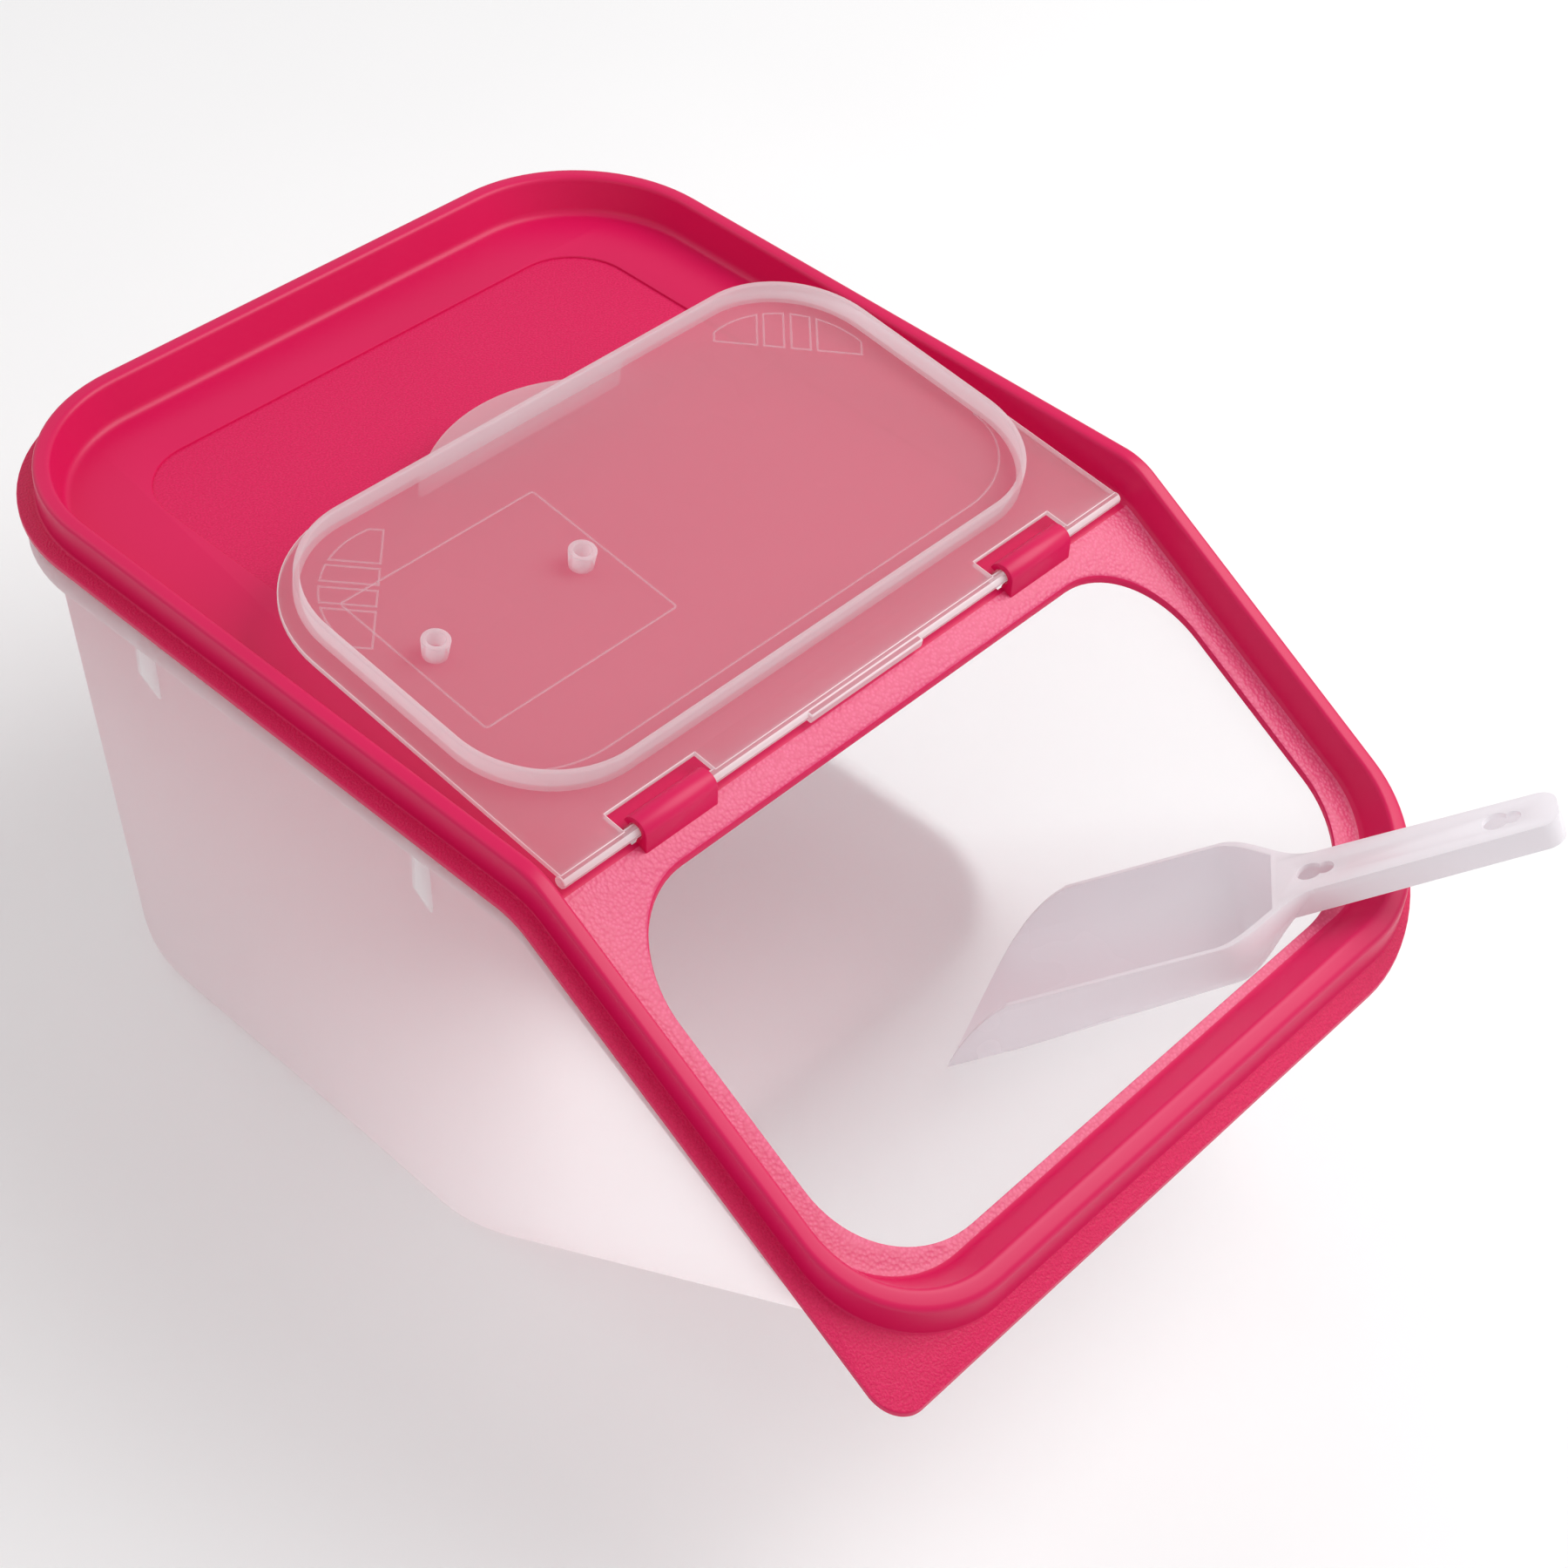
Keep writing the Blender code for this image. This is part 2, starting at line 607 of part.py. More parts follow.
def handle_outline(inset, start, end):
    near, far = HANDLE_HALF[0] - inset, HANDLE_HALF[1] - inset
    radii = (HANDLE_CORNER - inset, HANDLE_CORNER - inset)
    middle = end - HANDLE_CORNER
    low = corner(middle, -far + radii[1], *radii, 270, 4)
    high = corner(middle, far - radii[1], *radii, 0, 4)
    return [(start, -near)] + low + high + [(start, near)]


def make_scoop(finish):
    frame = scoop_frame()
    scoop = to_object(bowl(0, 0, SHOULDER[1]), "scoop", finish)
    scoop.matrix_world = frame

    def add(shape, name, operation):
        other = helper(shape, name)
        other.matrix_world = frame
        combine(scoop, other, operation)

    handle_start = BOWL_LENGTH - SCOOP_WALL
    channel = prism(handle_outline(SCOOP_WALL, BOWL_LENGTH + SCOOP_WALL, HANDLE_END), -40 * MM, -SCOOP_WALL)
    add(prism(handle_outline(0, handle_start, HANDLE_END), -HANDLE_DEPTH, 0), "handle", "UNION")
    add(bowl(SCOOP_WALL, 5 * MM, BOWL_LENGTH - SCOOP_WALL * 2), "bowl_hollow", "DIFFERENCE")
    add(lip_cutter(), "lip_cutter", "DIFFERENCE")
    add(channel, "handle_channel", "DIFFERENCE")
    for number, place in enumerate(HOLE_PLACES):
        for offset, radius in zip((-HOLE_SPREAD / 2, HOLE_SPREAD / 2), HOLE_RADII):
            hole = prism(circle(radius, 16, (place + offset, 0)), -5 * MM, 5 * MM)
            add(hole, f"peg_hole_{number}_{radius:.4f}", "DIFFERENCE")
    return scoop


def main():
    clear_scene()
    make_tub(material("frosted_tub", FROSTED, 0.4, 0.6))
    make_cover(material("pink_cover", PINK, 0.42))
    make_flap(material("frosted_flap", FROSTED, 0.3, 0.5))
    make_scoop(material("white_scoop", WHITE, 0.3))


main()
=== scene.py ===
"""Looks of the pet food bin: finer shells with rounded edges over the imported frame, moulded plastic
materials, and a plain studio.

Metres, in the frame of the CAD model. "Level" is a height above the top of the cover's flange, which is
horizontal behind the hinge line and slopes down in front of it: bend() turns a level into a height.
"""

import json
import math

import bmesh
import bpy
from mathutils import Matrix, Vector


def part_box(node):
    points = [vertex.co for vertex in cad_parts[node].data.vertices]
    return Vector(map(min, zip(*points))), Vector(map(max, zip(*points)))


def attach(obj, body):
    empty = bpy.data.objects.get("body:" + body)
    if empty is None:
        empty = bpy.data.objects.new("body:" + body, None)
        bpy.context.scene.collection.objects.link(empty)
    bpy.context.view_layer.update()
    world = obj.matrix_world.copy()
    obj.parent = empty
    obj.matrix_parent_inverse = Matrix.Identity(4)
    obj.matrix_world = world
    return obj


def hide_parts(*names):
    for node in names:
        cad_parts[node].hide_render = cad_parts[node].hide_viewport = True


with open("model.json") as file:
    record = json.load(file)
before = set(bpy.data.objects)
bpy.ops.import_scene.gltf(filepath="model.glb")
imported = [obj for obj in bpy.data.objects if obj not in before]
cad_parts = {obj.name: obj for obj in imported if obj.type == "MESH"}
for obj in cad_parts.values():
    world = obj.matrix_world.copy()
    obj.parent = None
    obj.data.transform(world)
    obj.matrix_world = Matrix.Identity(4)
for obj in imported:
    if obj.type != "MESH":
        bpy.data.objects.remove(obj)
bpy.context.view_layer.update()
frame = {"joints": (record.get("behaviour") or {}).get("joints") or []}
MM = 0.001

# The bent reference surface of cover and rim, from the frame's hinge and the cover's box
HINGE = next(joint for joint in frame["joints"] if joint["name"] == "flap_hinge")
HINGE_Y, HINGE_Z = HINGE["pos_m"][1], HINGE["pos_m"][2]
COVER_LOW, COVER_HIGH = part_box("cover")
SLOPE = math.radians(30.4)
BEND_RADIUS = 22 * MM
BEND_CUTS = 14
CORNER_STEPS = 20
TOOL_REACH = 20 * MM
SAME_PLACE = 0.01 * MM
ROUND_STEPS = 31
SOFT_ROUND = 0.8 * MM
EDGE_ROUND = 0.5 * MM
FINE_ROUND = 0.4 * MM
PLATE_ROUND = 0.35 * MM
MOST_OF_HALF = 0.48
CUT_OVER = 5 * MM

# Cover
FLANGE = {"half": COVER_HIGH[0], "front": COVER_LOW[1] - HINGE_Y, "back": COVER_HIGH[1] - HINGE_Y}
BEAD_INSET = 5.3 * MM
BEAD_FRONT_INSET = 5.1 * MM
PANEL = {
    "half": FLANGE["half"] - 12.2 * MM,
    "front": FLANGE["front"] + 20.1 * MM,
    "back": FLANGE["back"] - 14 * MM,
}
FLANGE_BACK_CORNER = 57 * MM
FLANGE_RIGHT_CORNER = 54 * MM
FLANGE_TIP_CORNER = 10 * MM
BEAD_BACK_CORNER = 52 * MM
BEAD_FRONT_CORNER = 40 * MM
PANEL_BACK_CORNER = 45 * MM
PANEL_FRONT_CORNER = 33 * MM
CROWN_WIDTH = 5 * MM
CROWN_LEVEL = 9.8 * MM
CROWN_ROUND = 1.5 * MM
FOOT_ROUND = 2.4 * MM
PANEL_LEVEL = -2.5 * MM
PANEL_THICKNESS = 2.5 * MM
FLANGE_THICKNESS = 1.9 * MM
COVER_WALL = 1.5 * MM
OPENING = {"half": 108.8 * MM, "front": -113.5 * MM, "back": -10 * MM}
OPENING_CORNER = 34 * MM
OPENING_ROUND = 0.9 * MM
RECESS = {"half": 91.3 * MM, "front": 18 * MM, "back": 207 * MM}
RECESS_CORNER = 21 * MM
RECESS_DEPTH = 0.8 * MM
RECESS_ROUND = 0.5 * MM
PANEL_INNER_RING = 4 * MM
PANEL_FRONT_LAP = 2.6 * MM
CROWN_UNDERSIDE = 1.3 * MM
LEVEL_MARGIN = 0.1 * MM

# Hinge
ROD_RADIUS = 1.9 * MM
ROD_HALF = 113.9 * MM
HOOK_X = 73.8 * MM
HOOK_HALF = 13.4 * MM
HOOK_INNER = 2.3 * MM
HOOK_OUTER = 4.3 * MM
HOOK_FOOT = 6.8 * MM
HOOK_SLOT = {"front": -0.6 * MM, "back": 4.6 * MM, "side": 1.5 * MM}
STOP_HALF = 23 * MM
STOP_REACH = 3.0 * MM
STOP_GROOVE = 4.0 * MM
STOP_RISE = 1.5 * MM
STOP_SIDE_GAP = 0.8 * MM
HOOK_SUNK = 0.6 * MM

# Flap, along its own plane from the rod's axis
FLAP_TILT = math.radians(6.5)
FLAP_HALF = 113.4 * MM
FLAP_LENGTH = 135.7 * MM
FLAP_CORNER = 40 * MM
FLAP_FACES = (0.4 * MM, 2.0 * MM)
NOTCH_HALF = 16.6 * MM
NOTCH_DEPTH = 8 * MM
SEAL = {"half": 107.6 * MM, "front": 14.6 * MM, "back": 131.7 * MM}
SEAL_CORNER = 33 * MM
SEAL_WALL = 1.8 * MM
SEAL_TOP = 9 * MM
SEAL_ROUND = 0.7 * MM
SNAPS_FREE = (-55 * MM, -23 * MM, 27 * MM)
SNAP_SIZE = (4 * MM, 0.5 * MM, 1.6 * MM)
SNAP_ROUND = 0.2 * MM
PEG_PLACES = ((-86.5 * MM, 77.4 * MM), (-32.3 * MM, 77.4 * MM))
PEG_RADII = (4.2 * MM, 2.6 * MM)
PEG_TOP = 8 * MM
PEG_TAPER = 0.84
TAB_HALF = 40 * MM
TAB_REACH = 16.8 * MM
TAB_FACES = (-10.6 * MM, -9.1 * MM)
TAB_WALL = 1.5 * MM
LINE_WIDTH = 0.6 * MM
LINE_HEIGHT = 0.22 * MM
LINE_SUNK = 0.1 * MM
LINE_SHOULDER = 0.3
LINE_CREST = 0.4
LABEL = {"half": 35.6 * MM, "front": 49.1 * MM, "back": 107.4 * MM, "middle": -58.3 * MM}
LABEL_CORNER = 1 * MM
PANEL_LINE_INSET = 9.5 * MM
PANEL_LINE_GAP = 0.3 * MM
PANEL_LINE_CORNER = (32 * MM, 26 * MM)
GRIP_CHORD = 13 * MM
GRIP_RADIUS = 29 * MM
GRIP_CELLS = ((-21.9 * MM, -8.3 * MM), (-6.2 * MM, -0.3 * MM), (2.0 * MM, 8.2 * MM), (10.3 * MM, 23.5 * MM))

# Tub
TUB_WALL = 1.8 * MM
TUB_GAP = 1.9 * MM
RIM_GAP = 0.3 * MM
RIM_THICKNESS = 2 * MM
RIM = {"half": 128.3 * MM, "front": -134.3 * MM, "back": 241.3 * MM}
RIM_FRONT_CORNER = 52 * MM
RIM_BACK_CORNER = 55 * MM
SKIRT_WALL = 1.6 * MM
SKIRT_LEVEL = -9 * MM
SKIRT_TAPER = -0.02
LIP_LEVEL = 3 * MM
LIP_GAP = 2.1 * MM
LIP_THICKNESS = 1.6 * MM
FLOOR = {"half": 116.7 * MM, "front": 6.2 * MM, "back": 229.7 * MM}
FLOOR_FRONT_CORNER = 46 * MM
FLOOR_BACK_CORNER = 58 * MM
FLOOR_ROUND = 9 * MM
RIB_PLACES = (41 * MM, 156 * MM)
RIB_HALF = 0.8 * MM
RIB_DEPTH = 2.3 * MM
RIB_RISE = 13 * MM
RIB_FOOT_LEVEL = -36 * MM
RIB_OVERLAP = 0.6 * MM

# Scoop
SCOOP_FRONT = Vector((27.8 * MM, HINGE_Y - 41.8 * MM, HINGE_Z - 102.4 * MM))
SCOOP_AXIS = Vector((0.58, -0.67, 0.46)).normalized()
SCOOP_ROLL = math.radians(12)
SCOOP_WALL = 1.6 * MM
BOWL_LENGTH = 87 * MM
BOWL_HALF = 27 * MM
BOWL_DEPTH = (28 * MM, 22.5 * MM)
BOWL_ROUND = 0.9
SHOULDER = (68 * MM, 96 * MM)
LIP_TOP = 14 * MM
LIP_TIP = 24 * MM
LIP_CURVE = 0.6
LIP_SKEW = 0.3
LIP_ROOM = 1.4
HANDLE_END = 167 * MM
HANDLE_HALF = (9.5 * MM, 8.5 * MM)
HANDLE_DEPTH = 8 * MM
HANDLE_CORNER = 5.5 * MM
HOLE_PLACES = (97.4 * MM, 151.6 * MM)
HOLE_RADII = (3.9 * MM, 2.8 * MM)
HOLE_SPREAD = 4.6 * MM

# Camera: its place, and the directions of its right and up
CAMERA_PLACE = (-0.4555, -0.4744, 0.6980)
CAMERA_AZIMUTH = math.radians(-50.13)
CAMERA_ELEVATION = math.radians(44.30)
CAMERA_ROLL = math.radians(4.53)
CAMERA_LENS = 64.96


def bend(y):
    """Height of the cover's reference surface at y, in world coordinates."""
    from_hinge = y - HINGE_Y
    tangent = BEND_RADIUS * math.tan(SLOPE / 2)
    if from_hinge >= tangent:
        return HINGE_Z
    if from_hinge <= -tangent * math.cos(SLOPE):
        return HINGE_Z + from_hinge * math.tan(SLOPE)
    return HINGE_Z - BEND_RADIUS + math.sqrt(BEND_RADIUS**2 - (from_hinge - tangent) ** 2)


def bend_lines():
    """The y of each line along which a bent face is cut, from front to back."""
    tangent = BEND_RADIUS * math.tan(SLOPE / 2)
    turns = [SLOPE * step / (BEND_CUTS - 1) for step in range(BEND_CUTS)]
    return sorted(HINGE_Y + tangent - BEND_RADIUS * math.sin(turn) for turn in turns)


def arc(centre, radii, start, sweep, steps=CORNER_STEPS):
    """Points of an elliptical arc, its angles in degrees."""
    turns = [math.radians(start + sweep * step / steps) for step in range(steps + 1)]
    return [(centre[0] + radii[0] * math.cos(turn), centre[1] + radii[1] * math.sin(turn)) for turn in turns]


def circle(radius, centre=(0, 0)):
    sweep = 360 * ROUND_STEPS / (ROUND_STEPS + 1)
    return arc(centre, (radius, radius), 0, sweep, ROUND_STEPS)


def rounded(size, radii, side_cuts=()):
    """Anticlockwise outline of a rectangle with elliptical corners.

    radii holds (x, y) pairs for the corners front left, front right, back right and back left. side_cuts are
    fractions along both straight sides, from front to back, where extra points go.
    """
    half, front, back = size["half"], size["front"], size["back"]
    left_front, right_front, right_back, left_back = radii
    points = arc((-half + left_front[0], front + left_front[1]), left_front, 180, 90)
    points += arc((half - right_front[0], front + right_front[1]), right_front, 270, 90)
    low, high = front + right_front[1], back - right_back[1]
    points += [(half, low + (high - low) * cut) for cut in side_cuts]
    points += arc((half - right_back[0], back - right_back[1]), right_back, 0, 90)
    points += arc((-half + left_back[0], back - left_back[1]), left_back, 90, 90)
    low, high = front + left_front[1], back - left_back[1]
    points += [(-half, low + (high - low) * cut) for cut in reversed(side_cuts)]
    return points


def grown(size, by, front=None):
    """The size with every side moved out by a distance; front gives the front's own distance."""
    return {
        "half": size["half"] + by,
        "front": size["front"] - (by if front is None else front),
        "back": size["back"] + by,
    }


def on_slope(radius):
    """Radii in plan of a corner that is round on the slope."""
    return (radius, radius * math.cos(SLOPE))


def corners(front, back):
    return (on_slope(front), on_slope(front), (back, back), (back, back))


def beaded(by):
    """The bead's outline moved in by a distance, as a size and its corner radii."""
    radii = corners(BEAD_FRONT_CORNER - by, BEAD_BACK_CORNER - by)
    return grown(FLANGE, -BEAD_INSET - by, -BEAD_FRONT_INSET - by), radii


def softened(rings, rounding, steps=4, around=False):
    """The rings, with the edges of the loft through them rounded by one distance a ring, or 0."""
    made = []
    count = len(rings)
    for index, (ring, distance) in enumerate(zip(rings, rounding)):
        if not distance or (not around and index in (0, count - 1)):
            made.append(ring)
            continue
        before, after = rings[index - 1], rings[(index + 1) % count]
        for step in range(steps + 1):
            share = step / steps
            made.append([eased(*points, distance, share) for points in zip(before, ring, after)])
    return made


def eased(before, point, after, distance, share):
    """A point at a share of the curve that rounds off a corner."""
    before, point, after = Vector(before), Vector(point), Vector(after)
    start = point + (before - point).normalized() * min(distance, (before - point).length * MOST_OF_HALF)
    end = point + (after - point).normalized() * min(distance, (after - point).length * MOST_OF_HALF)
    return start * (1 - share) ** 2 + point * 2 * share * (1 - share) + end * share**2


def loft(rings, closed_ends=True):
    """A bmesh through rings of points; its two end rings are filled, or joined to each other."""
    shape = bmesh.new()
    made = [[shape.verts.new(point) for point in ring] for ring in rings]
    pairs = list(zip(made, made[1:]))
    if not closed_ends:
        pairs.append((made[-1], made[0]))
    for lower, upper in pairs:
        for index in range(len(lower)):
            after = (index + 1) % len(lower)
            shape.faces.new((lower[index], lower[after], upper[after], upper[index]))
    if closed_ends:
        shape.faces.new(reversed(made[0]))
        shape.faces.new(made[-1])
    bmesh.ops.recalc_face_normals(shape, faces=shape.faces)
    return shape


def level_ring(outline, height):
    return [(x, y, height) for x, y in outline]


def prism(outline, low, high):
    return loft([level_ring(outline, low), level_ring(outline, high)])


def block(low, high):
    outline = [(low[0], low[1]), (high[0], low[1]), (high[0], high[1]), (low[0], high[1])]
    return prism(outline, low[2], high[2])


def bar_along_x(outline, low, high):
    """A prism along X on an outline of (y, z) points."""
    return loft([[(low, y, z) for y, z in outline], [(high, y, z) for y, z in outline]])


def to_object(shape, name):
    mesh = bpy.data.meshes.new(name)
    shape.to_mesh(mesh)
    shape.free()
    made = bpy.data.objects.new(name, mesh)
    bpy.context.scene.collection.objects.link(made)
    return made


def bevel(made, width, segments=2, degrees=40):
    modifier = made.modifiers.new("edges", "BEVEL")
    modifier.width = width
    modifier.segments = segments
    modifier.limit_method = "ANGLE"
    modifier.angle_limit = math.radians(degrees)
    modifier.harden_normals = False
    return made


def combine(target, other, operation):
    """Joins or cuts at once, and removes the other shape."""
    modifier = target.modifiers.new(other.name, "BOOLEAN")
    modifier.operation = operation
    modifier.solver = "EXACT"
    modifier.object = other
    settle(target)
    bpy.data.objects.remove(other)


def settle(target):
    """Replaces the object's mesh by the one its modifiers make."""
    graph = bpy.context.evaluated_depsgraph_get()
    mesh = bpy.data.meshes.new_from_object(target.evaluated_get(graph))
    target.modifiers.clear()
    target.data = mesh


def finish_piece(made, node, finish, degrees=30):
    """Gives the piece its material, smooth faces and its place in the frame."""
    made.data.materials.clear()
    for each in finish if isinstance(finish, list) else [finish]:
        made.data.materials.append(each)
    made.data.shade_smooth()
    made.data.set_sharp_from_angle(angle=math.radians(degrees))
    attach(made, node)


# Cover


def cover_rings():
    tip = (FLANGE_TIP_CORNER, FLANGE_TIP_CORNER)
    back = (FLANGE_BACK_CORNER, FLANGE_BACK_CORNER)
    flange = (FLANGE, (tip, on_slope(FLANGE_RIGHT_CORNER), back, back))
    panel = (PANEL, corners(PANEL_FRONT_CORNER, PANEL_BACK_CORNER))
    ring = PANEL_INNER_RING
    panel_in = (grown(PANEL, -ring), corners(PANEL_FRONT_CORNER - ring, PANEL_BACK_CORNER - ring))
    under_radii = corners(PANEL_FRONT_CORNER + COVER_WALL, PANEL_BACK_CORNER + COVER_WALL)
    under_panel = (grown(PANEL, COVER_WALL, PANEL_FRONT_LAP), under_radii)
    roof = CROWN_LEVEL - COVER_WALL
    layers = [
        (panel_in, PANEL_LEVEL, 0),
        (panel, PANEL_LEVEL, FOOT_ROUND),
        (beaded(CROWN_WIDTH), CROWN_LEVEL, CROWN_ROUND),
        (beaded(0), CROWN_LEVEL, CROWN_ROUND),
        (beaded(0), 0, SOFT_ROUND),
        (flange, 0, EDGE_ROUND),
        (flange, -FLANGE_THICKNESS, FINE_ROUND),
        (beaded(COVER_WALL), -FLANGE_THICKNESS, 0),
        (beaded(COVER_WALL), roof, 0),
        (beaded(CROWN_WIDTH - CROWN_UNDERSIDE), roof, 0),
        (under_panel, PANEL_LEVEL - PANEL_THICKNESS, 0),
    ]
    rings = [[(x, y + HINGE_Y, level) for x, y in rounded(*shape)] for shape, level, _ in layers]
    return softened(rings, [layer[2] for layer in layers], steps=5)


def flared_cutter(name, size, radii, bottom, edge, flare):
    """A cutter whose outline widens at the edge level, so that what it cuts has a rounded edge."""
    rings = [
        level_ring(rounded(size, radii), bottom),
        level_ring(rounded(size, radii), edge - flare),
        level_ring(rounded(grown(size, flare), radii), edge + flare * 0.02),
        level_ring(rounded(grown(size, flare), radii), edge + TOOL_REACH),
    ]
    middle = level_ring(rounded(grown(size, flare * 0.3), radii), edge - flare * 0.3)
    rings.insert(2, middle)
    return to_object(loft([[(x, y + HINGE_Y, z) for x, y, z in ring] for ring in rings]), name)


def slope_to_world(forward, up):
    y = HINGE_Y - forward * math.cos(SLOPE) - up * math.sin(SLOPE)
    z = HINGE_Z - forward * math.sin(SLOPE) + up * math.cos(SLOPE)
    return y, z


def hook_section(face):
    """Outline (forward, up) of a hinge hook about the rod's axis, with forward down the slope."""
    sunk = face - HOOK_SUNK
    points = [(HOOK_FOOT, sunk)]
    points += arc((0, 0), (HOOK_OUTER, HOOK_OUTER), 38, 158, 20)
    points += arc((0, 0), (HOOK_INNER, HOOK_INNER), 196, -236, 20)
    points.append((HOOK_INNER * math.cos(math.radians(40)) + 0.3 * MM, sunk))
    return points


def paint_cover(cover):
    """Grained plastic on the recess and the flange, leather grain on the slope in paler pinks that paint the
    key light's sheen, smooth plastic elsewhere.
    """
    back_of_slope = HINGE_Y - 2 * MM
    for face in cover.data.polygons:
        level = face.center.z - bend(face.center.y)
        if face.normal.z < 0.6:
            continue
        if face.center.y < back_of_slope and abs(level - PANEL_LEVEL) < 3 * LEVEL_MARGIN:
            face.material_index = 2
        elif abs(level - PANEL_LEVEL + RECESS_DEPTH) < LEVEL_MARGIN:
            face.material_index = 1
        elif abs(level) < LEVEL_MARGIN:
            face.material_index = 1


def make_cover(finishes):
    cover = to_object(loft(cover_rings()), "cover_shell")
    below = PANEL_LEVEL - 2 * PANEL_THICKNESS
    radii = corners(OPENING_CORNER, OPENING_CORNER * math.cos(SLOPE))
    combine(cover, flared_cutter("opening", OPENING, radii, below, PANEL_LEVEL, OPENING_ROUND), "DIFFERENCE")
    even = ((RECESS_CORNER, RECESS_CORNER),) * 4
    floor = PANEL_LEVEL - RECESS_DEPTH
    combine(cover, flared_cutter("recess", RECESS, even, floor, PANEL_LEVEL, RECESS_ROUND), "DIFFERENCE")
    for side in (-1, 1):
        reach = HOOK_HALF + HOOK_SLOT["side"]
        low = (side * HOOK_X - reach, HINGE_Y + HOOK_SLOT["front"], below)
        high = (side * HOOK_X + reach, HINGE_Y + HOOK_SLOT["back"], CROWN_LEVEL)
        combine(cover, to_object(block(low, high), "hook_slot"), "DIFFERENCE")
    shape = bmesh.new()
    shape.from_mesh(cover.data)
    for line in bend_lines():
        everything = shape.verts[:] + shape.edges[:] + shape.faces[:]
        bmesh.ops.bisect_plane(shape, geom=everything, plane_co=(0, line, 0), plane_no=(0, 1, 0), dist=1e-6)
    for vert in shape.verts:
        vert.co.z += bend(vert.co.y)
    shape.to_mesh(cover.data)
    shape.free()
    groove = circle(STOP_GROOVE, (HINGE_Y, HINGE_Z))
    reach = STOP_HALF + STOP_SIDE_GAP
    combine(cover, to_object(bar_along_x(groove, -reach, reach), "stop_groove"), "DIFFERENCE")
    section = [slope_to_world(forward, up) for forward, up in hook_section(PANEL_LEVEL * math.cos(SLOPE))]
    for side in (-1, 1):
        middle = side * HOOK_X
        hook = to_object(bar_along_x(section, middle - HOOK_HALF, middle + HOOK_HALF), "hook")
        combine(cover, bevel(hook, PLATE_ROUND), "UNION")
    finish_piece(cover, "cover", finishes)
    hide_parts("cover")
    paint_cover(cover)


# Tub


def make_tub(finish):
    straight_front = FLANGE["front"] + BEAD_FRONT_INSET + BEAD_FRONT_CORNER * math.cos(SLOPE)
    straight = FLANGE["back"] - BEAD_INSET - BEAD_BACK_CORNER - straight_front
    cuts = [(line - HINGE_Y - straight_front) / straight for line in bend_lines()]

    def bent(outline, level, taper=0):
        points = [(x, y + HINGE_Y, level + taper * y) for x, y in outline]
        return [(x, y, height + bend(y)) for x, y, height in points]

    def wall(by, level):
        return bent(rounded(*beaded(by), cuts), level)

    def rim(by, level, taper=0):
        radii = corners(RIM_FRONT_CORNER - by, RIM_BACK_CORNER - by)
        return bent(rounded(grown(RIM, -by), radii, cuts), level, taper)

    def floor(by, size, height):
        radii = [(radius - by, radius - by) for radius in (FLOOR_FRONT_CORNER, FLOOR_BACK_CORNER)]
        outline = rounded(size, (radii[0], radii[0], radii[1], radii[1]), cuts)
        return [(x, y + HINGE_Y, height) for x, y in outline]

    rim_top = -FLANGE_THICKNESS - RIM_GAP
    rim_bottom = rim_top - RIM_THICKNESS
    inner_floor = grown(FLOOR, -TUB_WALL, -TUB_WALL * math.tan(SLOPE / 2))
    layers = [
        (floor(FLOOR_ROUND * 2, grown(FLOOR, -FLOOR_ROUND * 2), 0), 0),
        (floor(0, FLOOR, 0), FLOOR_ROUND),
        (wall(TUB_GAP, rim_bottom), SOFT_ROUND),
        (rim(SKIRT_WALL, rim_bottom), 0),
        (rim(SKIRT_WALL, SKIRT_LEVEL, SKIRT_TAPER), EDGE_ROUND),
        (rim(0, SKIRT_LEVEL, SKIRT_TAPER), EDGE_ROUND),
        (rim(0, rim_top), SOFT_ROUND),
        (wall(LIP_GAP, rim_top), 0),
        (wall(LIP_GAP, LIP_LEVEL), EDGE_ROUND),
        (wall(LIP_GAP + LIP_THICKNESS, LIP_LEVEL), EDGE_ROUND),
        (floor(TUB_WALL, inner_floor, TUB_WALL), FLOOR_ROUND - TUB_WALL),
        (floor(FLOOR_ROUND * 2, grown(inner_floor, -FLOOR_ROUND * 1.8), TUB_WALL), 0),
    ]
    rings = softened([layer[0] for layer in layers], [layer[1] for layer in layers], steps=6)
    tub = to_object(loft(rings), "tub_shell")
    for place in RIB_PLACES:
        for side in (-1, 1):
            combine(tub, bevel(to_object(rib_shape(place, side, rim_bottom), "rib"), FINE_ROUND), "UNION")
    finish_piece(tub, "tub", finish)
    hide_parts("tub")


def rib_shape(place, side, rim_bottom):
    """A gusset between the skirt and the side wall, which it runs a little into."""
    near = RIM["half"] - SKIRT_WALL + RIB_OVERLAP
    deep = FLANGE["half"] - BEAD_INSET - TUB_GAP - RIB_DEPTH
    top = bend(place + HINGE_Y) + rim_bottom + RIB_OVERLAP
    foot = HINGE_Z + RIB_FOOT_LEVEL
    section = [(deep, foot), (deep + TUB_WALL, foot), (near, foot + RIB_RISE), (near, top), (deep, top)]
    ends = (place + HINGE_Y - RIB_HALF, place + HINGE_Y + RIB_HALF)
    return loft([[(side * x, y, z) for x, z in section] for y in ends])


# Flap, made about its rod's axis: X along the rod, Y along the plate, Z out of its inside


